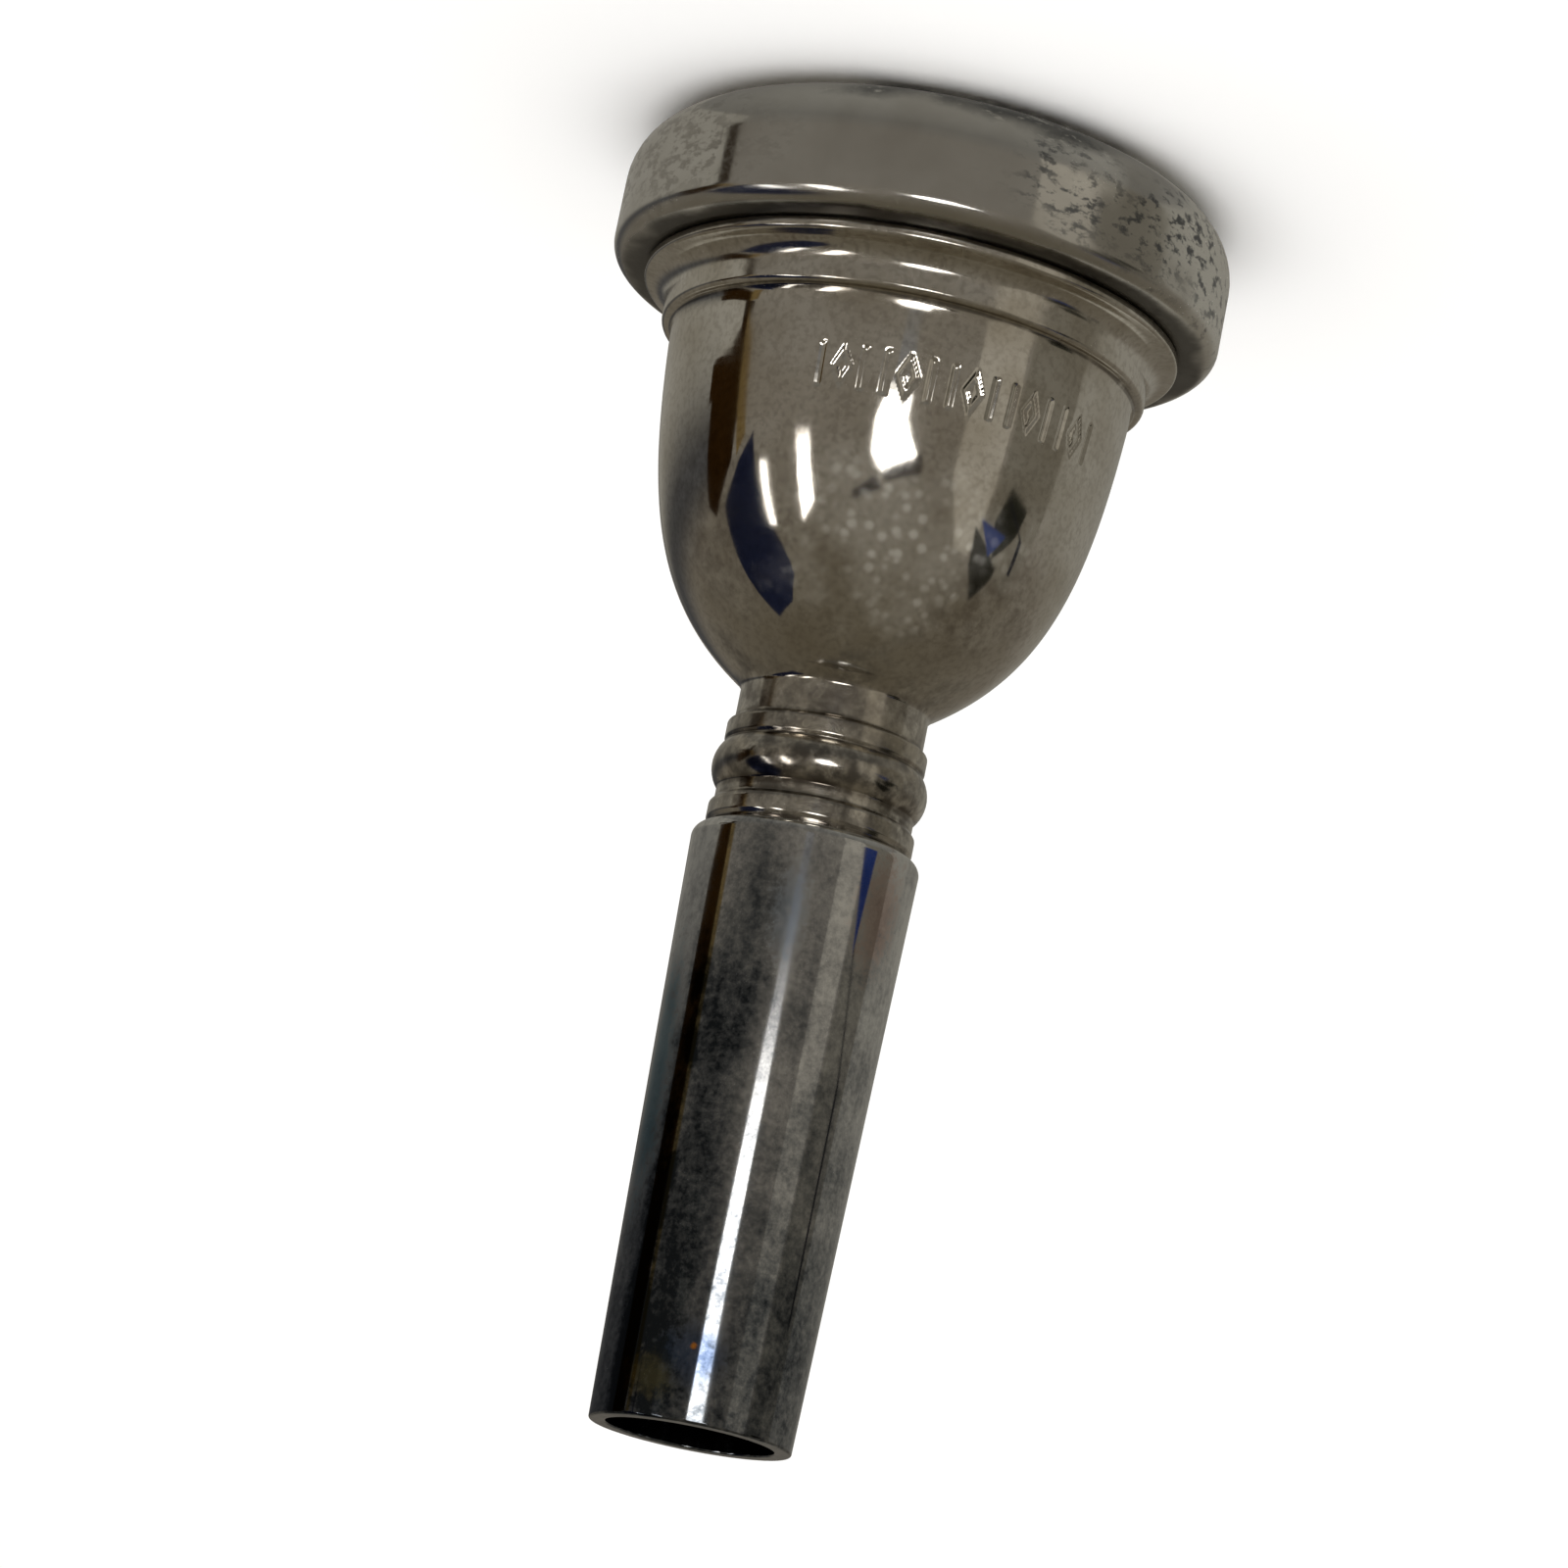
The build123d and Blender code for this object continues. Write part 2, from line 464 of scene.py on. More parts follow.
    stamped = add(tree, "ShaderNodeMath", {0: dent, 1: in_fine}, operation="MULTIPLY")
    stamped = add(
        tree, "ShaderNodeMath", {0: stamped, 1: given["Mark depth"]}, operation="MULTIPLY"
    )
    final_r = add(tree, "ShaderNodeMath", {0: cut_r, 1: stamped}, operation="SUBTRACT")

    # The sheet rolled into the turned piece, with its seam and poles merged.
    cosine = add(tree, "ShaderNodeMath", {0: angle}, operation="COSINE")
    sine = add(tree, "ShaderNodeMath", {0: angle}, operation="SINE")
    x = add(tree, "ShaderNodeMath", {0: final_r, 1: cosine}, operation="MULTIPLY")
    y = add(tree, "ShaderNodeMath", {0: final_r, 1: sine}, operation="MULTIPLY")
    spot = add(tree, "ShaderNodeCombineXYZ", {0: x, 1: y, 2: height})
    turned = add(tree, "GeometryNodeSetPosition", {"Geometry": sheet, "Position": spot})
    closed = add(
        tree, "GeometryNodeMergeByDistance", {"Geometry": turned, "Distance": SAME_POINT}
    )
    outward = add(tree, "GeometryNodeFlipFaces", {0: closed})
    smooth = add(tree, "GeometryNodeSetShadeSmooth", {0: outward})
    real = add(tree, "GeometryNodeRealizeInstances", {0: smooth})
    finished = add(
        tree, "GeometryNodeSetMaterial", {"Geometry": real, "Material": given["Material"]}
    )
    add(tree, "NodeGroupOutput", {0: finished})
    return tree


def turn(name, section, tree, sizes):
    """Turn a section with the tree's named inputs, and keep the result as a plain mesh."""
    source = bpy.data.objects.new(name + "_section", section)
    bpy.context.scene.collection.objects.link(source)
    modifier = source.modifiers.new("turned", "NODES")
    modifier.node_group = tree
    sockets = {s.name: s.identifier for s in tree.interface.items_tree if s.in_out == "INPUT"}
    for key, value in sizes.items():
        modifier[sockets[key]] = value
    depsgraph = bpy.context.evaluated_depsgraph_get()
    mesh = bpy.data.meshes.new_from_object(source.evaluated_get(depsgraph))
    source.modifiers.remove(modifier)
    bpy.data.objects.remove(source)
    mesh.name = name
    mesh.materials.pop(index=0)  # the sheet's own empty slot
    piece = bpy.data.objects.new(name, mesh)
    bpy.context.scene.collection.objects.link(piece)
    return piece


# ---------------------------------------------------------------- finishes


def linear(hex_colour):
    """An sRGB hex colour as linear RGBA."""
    parts = [int(hex_colour[i : i + 2], 16) / 255 for i in (1, 3, 5)]
    return [p / 12.92 if p <= 0.04045 else ((p + 0.055) / 1.055) ** 2.4 for p in parts] + [1.0]


def surface(tree):
    """Object coordinates, degrees round the axis from the front, and millimetres up the axis."""
    place = add(tree, "ShaderNodeTexCoord").outputs["Object"]
    parts = add(tree, "ShaderNodeSeparateXYZ", {0: place})
    front = add(tree, "ShaderNodeMath", {0: parts.outputs["Y"], 1: -1.0}, operation="MULTIPLY")
    turn_by = add(tree, "ShaderNodeMath", {0: parts.outputs["X"], 1: front}, operation="ARCTAN2")
    bearing = add(tree, "ShaderNodeMath", {0: turn_by, 1: math.degrees(1)}, operation="MULTIPLY")
    height = add(tree, "ShaderNodeMath", {0: parts.outputs["Z"], 1: 1 / MM}, operation="MULTIPLY")
    return place, bearing, height


RAGGED = 2.8  # how far a noise from 0 to 1 moves the edge of a blot, in half-sizes
BLOT_EDGE = (2.9, 1.8)  # nothing past the first, full inside the second, noise included


def blot(tree, bearing, height, ragged, at, size):
    """A stain with a soft uneven edge. at and size are (degrees round, millimetres up)."""
    aside = add(tree, "ShaderNodeMath", {0: bearing, 1: at[0]}, operation="SUBTRACT")
    aside = add(tree, "ShaderNodeMath", {0: aside, 1: size[0]}, operation="DIVIDE")
    above = add(tree, "ShaderNodeMath", {0: height, 1: at[1]}, operation="SUBTRACT")
    above = add(tree, "ShaderNodeMath", {0: above, 1: size[1]}, operation="DIVIDE")
    both = add(tree, "ShaderNodeCombineXYZ", {0: aside, 1: above})
    reach = add(tree, "ShaderNodeVectorMath", {0: both}, operation="LENGTH").outputs["Value"]
    uneven = add(
        tree, "ShaderNodeMath", {0: ragged, 1: RAGGED, 2: reach}, operation="MULTIPLY_ADD"
    )
    return add(
        tree,
        "ShaderNodeMapRange",
        {0: uneven, 1: BLOT_EDGE[0], 2: BLOT_EDGE[1]},
        interpolation_type="SMOOTHSTEP",
    )


def new_finish(name):
    """An empty node material and its tree."""
    material = bpy.data.materials.new(name)
    material.use_nodes = True
    material.node_tree.nodes.clear()
    return material, material.node_tree


def rim_plate():
    """Electroplated silver, buffed, then dulled where hands and a pouch rub it.

    It gives a satin mirror, with blue-grey freckles of sulphide on one side and a dark line of
    tarnish at the outer edge of the playing face."""
    material, tree = new_finish("silver_plate_handled")
    place, bearing, height = surface(tree)
    clouds = add(
        tree, "ShaderNodeTexNoise", {"Vector": place, "Scale": 1 / (5 * MM), "Detail": 5.0}
    )
    flat = add(tree, "ShaderNodeVectorMath", {0: place, 1: (1, 1, 1.8)}, operation="MULTIPLY")
    freckles = add(
        tree,
        "ShaderNodeTexNoise",
        {"Vector": flat, "Scale": 1 / (1.1 * MM), "Detail": 6.0, "Roughness": 0.66},
    )
    grain = add(
        tree, "ShaderNodeTexNoise", {"Vector": place, "Scale": 1 / (0.3 * MM), "Detail": 2.0}
    )
    dulled = add(tree, "ShaderNodeMapRange", {0: clouds, 1: 0.35, 2: 0.7, 3: 0.05, 4: 0.6})
    colour = add(
        tree,
        "ShaderNodeMix",
        {0: dulled, 6: linear("#e2e0da"), 7: linear("#bfbab1")},
        data_type="RGBA",
    ).outputs[2]
    strongest = 0.85  # no stain hides the silver altogether
    speckled = 0.0
    stains_and_groove_shade = (  # colour, (degrees, millimetres) of its middle and half-size, least freckle noise
        ("#fffdf6", (-31, 3.4), (8, 1.5), 0.0),
        ("#fbfaf4", (-68, 4.5), (22, 6.0), 0.3),
        ("#5d6268", (-46, 5.4), (26, 3.6), 0.53),
        ("#6e7073", (-60, 3.0), (30, 3.0), 0.56),
        ("#2f3338", (-11, 0.5), (30, 1.3), 0.38),
        ("#60605e", (-92, 4.5), (16, 4.0), 0.56),
        ("#b5b1aa", (62, 4.0), (22, 4.0), 0.5),
        ("#5c5a56", (150, 5.0), (40, 4.0), 0.58),
        # The last is a dark line round the seam at the drum's top, under the flange: painted groove
        # shade.
        ("#332e28", (0, 9.02), (999, 0.2), 0.2),
    )
    for shade, at, size, least in stains_and_groove_shade:
        zone = blot(tree, bearing, height, clouds, at, size)
        spots = add(
            tree,
            "ShaderNodeMapRange",
            {0: freckles, 1: least - 0.04, 2: least + 0.09},
            interpolation_type="SMOOTHSTEP",
        )
        share = add(tree, "ShaderNodeMath", {0: zone, 1: spots}, operation="MULTIPLY")
        share = add(tree, "ShaderNodeMath", {0: share, 1: strongest}, operation="MULTIPLY")
        colour = add(
            tree, "ShaderNodeMix", {0: share, 6: colour, 7: linear(shade)}, data_type="RGBA"
        ).outputs[2]
        speckled = add(tree, "ShaderNodeMath", {0: share, 1: speckled}, operation="MAXIMUM")
    satin = add(tree, "ShaderNodeMapRange", {0: clouds, 1: 0.3, 2: 0.7, 3: 0.05, 4: 0.13})
    fillet_haze = add(tree, "ShaderNodeMapRange", {0: height, 1: 7.6, 2: 8.3, 4: 0.12})
    satin = add(tree, "ShaderNodeMath", {0: satin, 1: fillet_haze}, operation="ADD")
    rough = add(tree, "ShaderNodeMath", {0: speckled, 1: 0.2, 2: satin}, operation="MULTIPLY_ADD")
    bump = add(tree, "ShaderNodeBump", {"Strength": 0.5, "Distance": 0.002 * MM, "Height": grain})
    shader = add(
        tree,
        "ShaderNodeBsdfPrincipled",
        {"Base Color": colour, "Metallic": 1.0, "Roughness": rough, "Normal": bump},
    )
    add(tree, "ShaderNodeOutputMaterial", {"Surface": shader})
    return material


def cup_plate():
    """Electroplated silver, buffed bright, with a thin yellow-grey film from the air.

    It gives a crisp mirror that turns cloudy and brown in patches towards the neck, the matt
    white scale of dried water drops on the bowl, and brass showing through on the thread crests."""
    material, tree = new_finish("silver_plate_buffed")
    place, bearing, height = surface(tree)
    clouds = add(
        tree, "ShaderNodeTexNoise", {"Vector": place, "Scale": 1 / (4 * MM), "Detail": 6.0}
    )
    mottle = add(
        tree,
        "ShaderNodeTexNoise",
        {"Vector": place, "Scale": 1 / (1.3 * MM), "Detail": 4.0, "Roughness": 0.6},
    )
    drops = add(tree, "ShaderNodeTexVoronoi", {"Vector": place, "Scale": 1 / (0.85 * MM)})
    grain = add(
        tree, "ShaderNodeTexNoise", {"Vector": place, "Scale": 1 / (0.4 * MM), "Detail": 4.0}
    )
    low_bowl = add(
        tree,
        "ShaderNodeMapRange",
        {0: height, 1: 18.0, 2: 31.0, 3: 0.0, 4: 0.12},
        interpolation_type="SMOOTHSTEP",
    )
    film = add(tree, "ShaderNodeMapRange", {0: clouds, 1: 0.38, 2: 0.68, 3: 0.0, 4: 0.5})
    film = add(tree, "ShaderNodeMath", {0: film, 1: low_bowl}, operation="ADD")
    colour = add(
        tree,
        "ShaderNodeMix",
        {0: film, 6: linear("#ebe7de"), 7: linear("#b3a893")},
        data_type="RGBA",
    ).outputs[2]
    speck = add(tree, "ShaderNodeMapRange", {0: grain, 1: 0.45, 2: 0.65, 4: 0.35})
    colour = add(
        tree, "ShaderNodeMix", {0: speck, 6: colour, 7: linear("#a49c90")}, data_type="RGBA"
    ).outputs[2]
    stains_and_groove_shade = (  # colour, middle, half-size, strength, least and most noise
        ("#877b6e", (-40, 29.5), (20, 3.2), 0.5, 0.42, 0.62),
        ("#8a8078", (55, 27.0), (18, 5.5), 0.6, 0.35, 0.7),
        ("#75716c", (0, 39.6), (999, 5.0), 0.75, 0.36, 0.62),
        ("#5f5a54", (15, 40.3), (45, 1.5), 0.6, 0.42, 0.6),
        ("#5f5a54", (-35, 42.0), (30, 1.6), 0.5, 0.42, 0.6),
        ("#8a8076", (-20, 35.6), (60, 1.2), 0.5, 0.4, 0.65),
        ("#96897a", (-150, 24.0), (50, 8.0), 0.6, 0.4, 0.7),
        # The last six are dark lines in the corner under the collar and in the neck's grooves and
        # steps: painted shade.
        ("#5b5247", (0, 12.75), (999, 0.13), 0.7, 0.2, 0.5),
        ("#5b5247", (0, 37.15), (999, 0.24), 0.7, 0.2, 0.5),
        ("#5b5247", (0, 38.65), (999, 0.26), 0.7, 0.2, 0.5),
        ("#5b5247", (0, 41.6), (999, 0.24), 0.7, 0.2, 0.5),
        ("#5b5247", (0, 42.4), (999, 0.24), 0.5, 0.2, 0.5),
        ("#4f473d", (0, 44.0), (999, 0.16), 0.8, 0.2, 0.5),
    )
    for shade, at, size, strength, least, most in stains_and_groove_shade:
        zone = blot(tree, bearing, height, clouds, at, size)
        spots = add(tree, "ShaderNodeMapRange", {0: mottle, 1: least, 2: most, 4: strength})
        share = add(tree, "ShaderNodeMath", {0: zone, 1: spots}, operation="MULTIPLY")
        colour = add(
            tree, "ShaderNodeMix", {0: share, 6: colour, 7: linear(shade)}, data_type="RGBA"
        ).outputs[2]
    spotted = blot(tree, bearing, height, clouds, (-8, 27.0), (28, 4.0))
    spot = add(
        tree,
        "ShaderNodeMapRange",
        {0: drops.outputs["Distance"], 1: 0.5, 2: 0.2, 3: 0.4, 4: 1.0},
        interpolation_type="SMOOTHSTEP",
    )
    dried = add(tree, "ShaderNodeMath", {0: spotted, 1: spot}, operation="MULTIPLY")
    colour = add(
        tree, "ShaderNodeMix", {0: dried, 6: colour, 7: linear("#fbf8ee")}, data_type="RGBA"
    ).outputs[2]
    across = add(tree, "ShaderNodeVectorMath", {0: place, 1: (1, 1, 0)}, operation="MULTIPLY")
    radius = add(tree, "ShaderNodeVectorMath", {0: across}, operation="LENGTH").outputs["Value"]
    # The plating is worn through on the outermost part of each thread.
    threads = ((BOSS_R, "LESS_THAN", RIM_HEIGHT - 0.7), (STUB_R, "GREATER_THAN", SHOULDER + 0.3))
    for crest_r, side, edge in threads:
        crest = add(
            tree,
            "ShaderNodeMapRange",
            {0: radius, 1: (crest_r - 0.2) * MM, 2: (crest_r - 0.06) * MM},
        )
        beside = add(tree, "ShaderNodeMath", {0: height, 1: edge}, operation=side)
        rubbed = add(tree, "ShaderNodeMapRange", {0: clouds, 1: 0.35, 2: 0.55, 3: 0.2, 4: 0.95})
        share = add(tree, "ShaderNodeMath", {0: crest, 1: beside}, operation="MULTIPLY")
        share = add(tree, "ShaderNodeMath", {0: share, 1: rubbed}, operation="MULTIPLY")
        colour = add(
            tree, "ShaderNodeMix", {0: share, 6: colour, 7: linear("#e0bb68")}, data_type="RGBA"
        ).outputs[2]
    gloss = add(tree, "ShaderNodeMapRange", {0: clouds, 1: 0.35, 2: 0.75, 3: 0.04, 4: 0.13})
    on_neck = add(tree, "ShaderNodeMapRange", {0: height, 1: 33.5, 2: 35.5, 4: 0.07})
    gloss = add(tree, "ShaderNodeMath", {0: gloss, 1: on_neck}, operation="ADD")
    on_flange = add(tree, "ShaderNodeMapRange", {0: height, 1: 13.4, 2: 12.4, 4: 0.08})
    gloss = add(tree, "ShaderNodeMath", {0: gloss, 1: on_flange}, operation="ADD")
    rough = add(tree, "ShaderNodeMath", {0: dried, 1: 0.03, 2: gloss}, operation="MULTIPLY_ADD")
    bare = add(tree, "ShaderNodeMath", {0: dried, 1: -0.13, 2: 1.0}, operation="MULTIPLY_ADD")
    stretched = add(tree, "ShaderNodeVectorMath", {0: place, 1: (1, 1, 0.06)}, operation="MULTIPLY")
    wipes = add(
        tree, "ShaderNodeTexNoise", {"Vector": stretched, "Scale": 1 / (0.25 * MM), "Detail": 2.0}
    )
    bump = add(tree, "ShaderNodeBump", {"Strength": 0.4, "Distance": 0.001 * MM, "Height": wipes})
    shader = add(
        tree,
        "ShaderNodeBsdfPrincipled",
        {"Base Color": colour, "Metallic": bare, "Roughness": rough, "Normal": bump},
    )
    add(tree, "ShaderNodeOutputMaterial", {"Surface": shader})
    return material


def shank_plate():
    """Electroplated silver under a sulphide film that thickens from grey to blue-black.

    It gives a darker mirror than the cup's, streaked by wiping along the tube, with teal and
    straw interference colours where the film is thinnest over bright metal."""
    material, tree = new_finish("silver_plate_tarnished")
    place, bearing, height = surface(tree)
    clouds = add(
        tree, "ShaderNodeTexNoise", {"Vector": place, "Scale": 1 / (3 * MM), "Detail": 6.0}
    )
    mottle = add(
        tree,
        "ShaderNodeTexNoise",
        {"Vector": place, "Scale": 1 / (0.5 * MM), "Detail": 5.0, "Roughness": 0.7},
    )
    stretched = add(tree, "ShaderNodeVectorMath", {0: place, 1: (1, 1, 0.12)}, operation="MULTIPLY")
    streaks = add(
        tree, "ShaderNodeTexNoise", {"Vector": stretched, "Scale": 1 / (0.9 * MM), "Detail": 3.0}
    )
    thickness = add(tree, "ShaderNodeMapRange", {0: height, 1: 44.0, 2: 78.0, 3: 0.05, 4: 0.72})
    for noise, amount in ((clouds, 0.85), (mottle, 1.1), (streaks, 0.4)):
        shift = add(tree, "ShaderNodeMath", {0: noise, 1: 0.5}, operation="SUBTRACT")
        thickness = add(
            tree, "ShaderNodeMath", {0: shift, 1: amount, 2: thickness}, operation="MULTIPLY_ADD"
        )
    heavy = (  # middle, half-size, extra thickness
        ((27, 62), (16, 30), 0.36),
        ((22, 56.8), (20, 3.6), 0.24),
        ((48, 72), (8, 17), 0.5),
        ((14, 48.5), (14, 4.5), 0.22),
        ((-13, 56.5), (8, 1.6), 0.2),
        ((-13, 50), (7, 6), 0.12),
        ((-160, 60), (50, 20), 0.2),
    )
    for at, size, extra in heavy:
        zone = blot(tree, bearing, height, clouds, at, size)
        thickness = add(
            tree, "ShaderNodeMath", {0: zone, 1: extra, 2: thickness}, operation="MULTIPLY_ADD"
        )
    ramp = add(tree, "ShaderNodeValToRGB", {0: thickness})
    stops = ramp.color_ramp.elements
    stops[0].color = linear("#dbdbd8")
    stops[1].color = linear("#2e3338")
    for position, shade in ((0.3, "#b8b8b7"), (0.55, "#8f9192"), (0.78, "#64686c")):
        stops.new(position).color = linear(shade)
    colour = ramp.outputs[0]
    tints = (  # interference colours: colour, middle, half-size, strength
        ("#3f7a8c", (68, 61), (11, 7), 0.65),
        ("#9fb2c8", (3, 50), (8, 2.6), 0.4),
        ("#7b7450", (30, 79.0), (15, 1.2), 0.45),
        ("#35507a", (6, 77.4), (15, 1.7), 0.45),
        ("#e0913c", (7.5, 76.9), (1.6, 0.2), 0.95),
        ("#b59384", (-46, 48.5), (13, 3.4), 0.55),
    )
    for shade, at, size, strength in tints:
        zone = blot(tree, bearing, height, mottle, at, size)
        share = add(tree, "ShaderNodeMath", {0: zone, 1: strength}, operation="MULTIPLY")
        colour = add(
            tree, "ShaderNodeMix", {0: share, 6: colour, 7: linear(shade)}, data_type="RGBA"
        ).outputs[2]
    rough = add(tree, "ShaderNodeMapRange", {0: mottle, 1: 0.3, 2: 0.7, 3: 0.05, 4: 0.1})
    bump = add(tree, "ShaderNodeBump", {"Strength": 0.4, "Distance": 0.001 * MM, "Height": streaks})
    shader = add(
        tree,
        "ShaderNodeBsdfPrincipled",
        {"Base Color": colour, "Metallic": 1.0, "Roughness": rough, "Normal": bump},
    )
    add(tree, "ShaderNodeOutputMaterial", {"Surface": shader})
    return material


# ---------------------------------------------------------------- the pieces

turning = turning_tree()
unmarked = {  # with a quarter of the divisions in a quarter turn, so all are alike
    "Thread pitch": THREAD_PITCH * MM,
    "Fine start": 0.0,
    "Fine arc": math.pi / 2,
    "Mark count": 1,
    "Mark radius": 0.01,
    "Mark tall": 0.001,
    "Mark depth": 0.0,
}

rim_points = refined(rim_section(), *RIM_SOCKET_THREAD, RIM_SOCKET_R, SOCKET_STEP)
rim_threads = [(*RIM_SOCKET_THREAD, RIM_SOCKET_R, RIM_SOCKET_DEPTH)]
rim = turn(
    "rim_ring",
    section_mesh("rim_section", rim_points, rim_threads),
    turning,
    {**unmarked, "Divisions": 288, "Fine divisions": 72, "Material": rim_plate()},
)
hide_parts("rim")
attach(rim, "rim")

cup_points = refined(cup_section(), BOSS_END + CHAMFER, BOSS_THREAD[1], BOSS_R, MALE_STEP)
cup_points = refined(
    cup_points, SHOULDER + 2 * RELIEF, STUB_END - CHAMFER, STUB_R, MALE_STEP
)
cup_points = refined(
    cup_points, MARK_LOW - MARK_MARGIN, MARK_HIGH + MARK_MARGIN, BOWL_R, MARK_STEP
)
cup_threads = [(*BOSS_THREAD, BOSS_R, -MALE_DEPTH), (*STUB_THREAD, STUB_R, -MALE_DEPTH)]
cup = turn(
    "cup_body",
    section_mesh("cup_section", cup_points, cup_threads, marks=True),
    turning,
    {
        "Divisions": 280,
        "Fine divisions": 170,
        "Fine start": math.radians(MARK_START),
        "Fine arc": math.radians(MARK_ARC),
        "Thread pitch": THREAD_PITCH * MM,
        "Mark count": MARK_COUNT,
        "Mark radius": BOWL_R * MM,
        "Mark tall": (MARK_HIGH - MARK_LOW) * MM,
        "Mark depth": MARK_DEPTH * MM,
        "Material": cup_plate(),
    },
)
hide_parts("cup")
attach(cup, "cup")

shank_points = refined(
    shank_section(), SHOULDER + CHAMFER, STUB_END, SHANK_SOCKET_R, SOCKET_STEP
)
shank_threads = [(*SHANK_SOCKET_THREAD, SHANK_SOCKET_R, SHANK_SOCKET_DEPTH)]
shank = turn(
    "shank_tube",
    section_mesh("shank_section", shank_points, shank_threads),
    turning,
    {**unmarked, "Divisions": 240, "Fine divisions": 60, "Material": shank_plate()},
)
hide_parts("shank")
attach(shank, "shank")

# ---------------------------------------------------------------- floor, light and camera


def ground():
    """A wide pale floor, which the metal doesn't mirror."""
    mesh = bpy.data.meshes.new("floor")
    mesh.from_pydata([(-4, -4, 0), (4, -4, 0), (4, 4, 0), (-4, 4, 0)], [], [(0, 1, 2, 3)])
    floor = bpy.data.objects.new("floor", mesh)
    material, tree = new_finish("floor_matt_white")
    shader = add(tree, "ShaderNodeBsdfDiffuse", {"Color": linear("#fbfbfb")})
    add(tree, "ShaderNodeOutputMaterial", {"Surface": shader})
    mesh.materials.append(material)
    bpy.context.scene.collection.objects.link(floor)
    floor.visible_glossy = False


ROOM = 0.58  # metres from the axis to the things the metal mirrors
EYE_LEVEL = 0.022  # the height that their elevations are taken from
FAINT = 0.03  # share of its strength that a fading card starts from


def card(name, corners, colour, strength=1.0, fade=None, soft=None, nearer=0.0):
    """Something that only the metal mirrors, by its (bearing, elevation) corners in degrees.

    fade is the two elevations between which it grows from almost nothing to its full strength.
    soft is four elevations: it comes in between the first two and goes out between the others."""
    distance = ROOM - nearer

    def level(elevation):
        return EYE_LEVEL + distance * math.tan(math.radians(elevation))

    points = []
    for bearing, elevation in corners:
        b = math.radians(bearing)
        points.append((distance * math.sin(b), -distance * math.cos(b), level(elevation)))
    mesh = bpy.data.meshes.new(name)
    mesh.from_pydata(points, [], [tuple(range(len(points)))])
    material, tree = new_finish(name)
    if fade or soft:
        place = add(tree, "ShaderNodeTexCoord").outputs["Object"]
        up = add(tree, "ShaderNodeSeparateXYZ", {0: place}).outputs["Z"]
    if fade:
        strength = add(
            tree,
            "ShaderNodeMapRange",
            {0: up, 1: level(fade[0]), 2: level(fade[1]), 3: FAINT * strength, 4: strength},
            interpolation_type="SMOOTHSTEP",
        )
    glow = add(tree, "ShaderNodeEmission", {"Color": linear(colour), "Strength": strength})
    if soft:
        come = add(
            tree,
            "ShaderNodeMapRange",
            {0: up, 1: level(soft[0]), 2: level(soft[1])},
            interpolation_type="SMOOTHSTEP",
        )
        leave = add(
            tree,
            "ShaderNodeMapRange",
            {0: up, 1: level(soft[3]), 2: level(soft[2])},
            interpolation_type="SMOOTHSTEP",
        )
        solid = add(tree, "ShaderNodeMath", {0: come, 1: leave}, operation="MULTIPLY")
        clear = add(tree, "ShaderNodeBsdfTransparent")
        glow = add(tree, "ShaderNodeMixShader", {0: solid, 1: clear, 2: glow})
    add(tree, "ShaderNodeOutputMaterial", {"Surface": glow})
    material.cycles.emission_sampling = "NONE"  # it lights nothing, and is only mirrored
    mesh.materials.append(material)
    sheet = bpy.data.objects.new(name, mesh)
    bpy.context.scene.collection.objects.link(sheet)
    sheet.visible_camera = False
    sheet.visible_diffuse = False
    sheet.visible_shadow = False


def studio():
    """A pale room, warm grey as the metal mirrors it, and a broad soft light from above."""
    world = bpy.data.worlds.new("room")
    bpy.context.scene.world = world
    world.use_nodes = True
    tree = world.node_tree
    tree.nodes.clear()
    way = add(tree, "ShaderNodeTexCoord").outputs["Generated"]
    up = add(tree, "ShaderNodeSeparateXYZ", {0: way}).outputs["Z"]
    share = add(tree, "ShaderNodeMapRange", {0: up, 1: -1.0, 2: 1.0})
    ramp = add(tree, "ShaderNodeValToRGB", {0: share})
    stops = ramp.color_ramp.elements
    stops[0].color = linear("#86847e")
    stops[1].color = linear("#5d574b")
    between = ((0.2, "#716f6a"), (0.33, "#78746d"), (0.46, "#79746c"), (0.64, "#6f6a61"))
    for position, shade in between:
        stops.new(position).color = linear(shade)
    room = add(tree, "ShaderNodeBackground", {"Color": ramp.outputs[0], "Strength": 1.0})
    pale = add(tree, "ShaderNodeBackground", {"Color": linear("#fcfcfc"), "Strength": 1.0})
    path = add(tree, "ShaderNodeLightPath")
    both = add(tree, "ShaderNodeMixShader", {0: path.outputs["Is Camera Ray"], 1: room, 2: pale})
    add(tree, "ShaderNodeOutputWorld", {"Surface": both})

    light = bpy.data.lights.new("overhead", "AREA")
    light.size = 6.0
    light.energy = 178.0
    overhead = bpy.data.objects.new("overhead", light)
    overhead.location = (0, 0, 2.5)
    overhead.visible_glossy = False
    overhead.visible_camera = False
    bpy.context.scene.collection.objects.link(overhead)


def camera():
    """A long lens a little above the piece, rolled so that it hangs nearly upside down."""
    data = bpy.data.cameras.new("camera")
    data.lens = 135
    data.sensor_width = 36
    data.clip_start = 0.01
    eye = bpy.data.objects.new("camera", data)
    tilt, roll = math.radians(13.87), math.radians(191.31)
    stand = Matrix.Translation((0.00214, -0.35418, 0.12795))
    upright = math.pi / 2  # an unturned camera looks straight down
    aim = Matrix.Rotation(upright - tilt, 4, "X") @ Matrix.Rotation(roll, 4, "Z")
    eye.matrix_world = stand @ aim
    bpy.context.scene.collection.objects.link(eye)
    bpy.context.scene.camera = eye


ground()
studio()
camera()

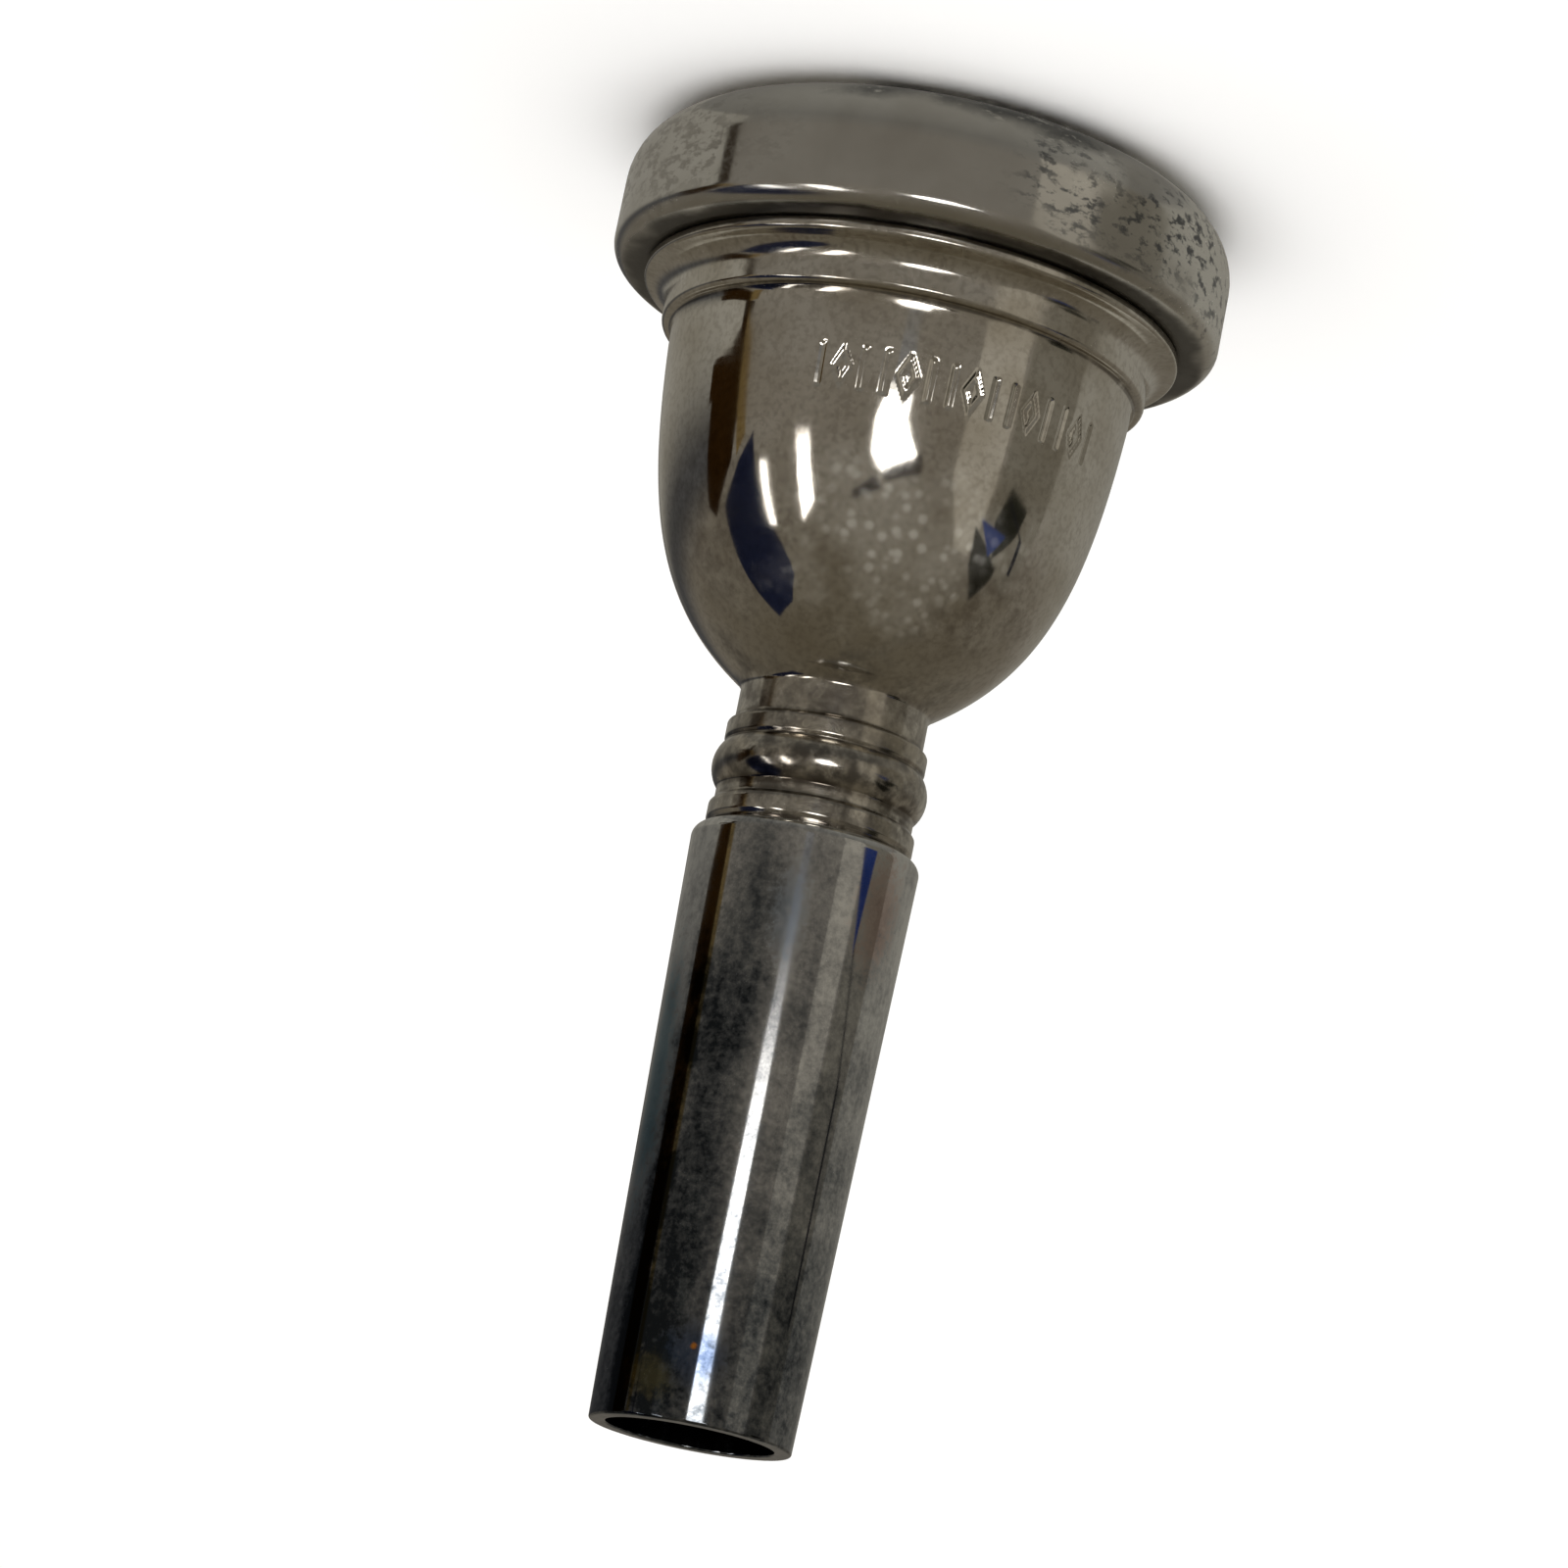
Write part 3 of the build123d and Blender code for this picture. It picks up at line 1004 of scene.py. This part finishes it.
# What the metal mirrors: lamps, a door, a drape, dark shades low in front, shelves and pale walls.
lamp_left = [(2, -12), (-4, -12), (-5, -6), (-7.5, -4.2), (-7, -0.7), (-16, 5), (-14, 8)]
lamp_right = [(-1, 10), (7, 6), (8, -0.7), (5, -4.2), (3, -6)]
card("lamp_front", lamp_left + lamp_right, "#fffdfb", 6.0, fade=(-6.5, -0.7))
card("lamp_side", [(48, 1), (40, 2), (34, 19), (40, 25), (43, 14)], "#fffaf6", 5.0, fade=(0, 7))
card("lamp_far", [(66, 6), (62, 7), (57, 25), (61, 24)], "#fffdfb", 4.0, nearer=0.04)
card(
    "door",
    [(101, -8.5), (90, -11.5), (84, -13), (81, -8), (84, 3), (97, 13), (102, 9)],
    "#241606",
    nearer=-0.02,
)
card("door_low", [(101, -11.5), (84, -11.5), (84, -7.5), (101, -7.5)], "#241606", nearer=0.38)
card("door_foot", [(87, -26), (82.5, -26), (81, -13), (87, -12)], "#241a0e", nearer=-0.03)
card("door_gilt", [(84, -13), (79, -11), (76, 0), (81, 3)], "#665637", nearer=-0.01)
drape_hem = [(71, 0), (79, 4), (90, 12), (89, 36), (86, 56)]
drape_fold = [(64, 55), (52, 45), (55, 33), (62, 20), (68, 9)]
card("drape", drape_hem + drape_fold, "#181c2e", nearer=0.03)
card("shade_left", [(14, 16), (3, 11), (-2, 14), (12, 18)], "#211c1a", nearer=0.01)
card("shade_right", [(0, 9), (-18, 4), (-20, 8), (-2, 12)], "#211c1a", nearer=0.01)
card("shelf_upper", [(-70, 1), (-84, 2), (-83, 8), (-75, 17), (-67, 9)], "#20201a", nearer=0.01)
card("shelf_lower", [(-57, 13), (-81, 18), (-82, 21), (-79, 32), (-64, 24)], "#20201a", nearer=0.02)
card("pale_wall", [(-36, -30), (-60, -30), (-60, 22), (-50, 22), (-36, 5)], "#989389")
card("screen", [(-53, 10.9), (-70, 10.9), (-65.5, 18.4)], "#1f2e5e", nearer=0.52)
card(
    "wall_edge",
    [(-66.5, 3), (-68.5, 3), (-85.5, 7.9), (-89, 16.3), (-86.5, 16.3), (-83, 7.9)],
    "#14151c",
    nearer=0.45,
)
card("dim_wall", [(-62, -30), (-96, -30), (-96, 20), (-62, 20)], "#6d6960", nearer=-0.02)
card(
    "dim_corner",
    [(100, -18), (170, -18), (170, 26), (100, 30)],
    "#474748",
    soft=(-18, -5, 0, 13),
    nearer=-0.4,
)
card(
    "pale_corner",
    [(84, -32), (170, -32), (170, -1), (84, -1)],
    "#8d8a82",
    soft=(-34, -33, -13, -1),
    nearer=-0.42,
)
card(
    "pale_side",
    [(-96, -32), (-175, -32), (-175, 8), (-96, 8)],
    "#88857d",
    soft=(-34, -33, -6, 8),
    nearer=-0.42,
)
card("pale_window", [(150, 24), (215, 24), (215, 62), (150, 62)], "#9c9990", soft=(24, 34, 50, 62))

bpy.context.scene.view_settings.view_transform = "Standard"  # colours come out as they are set
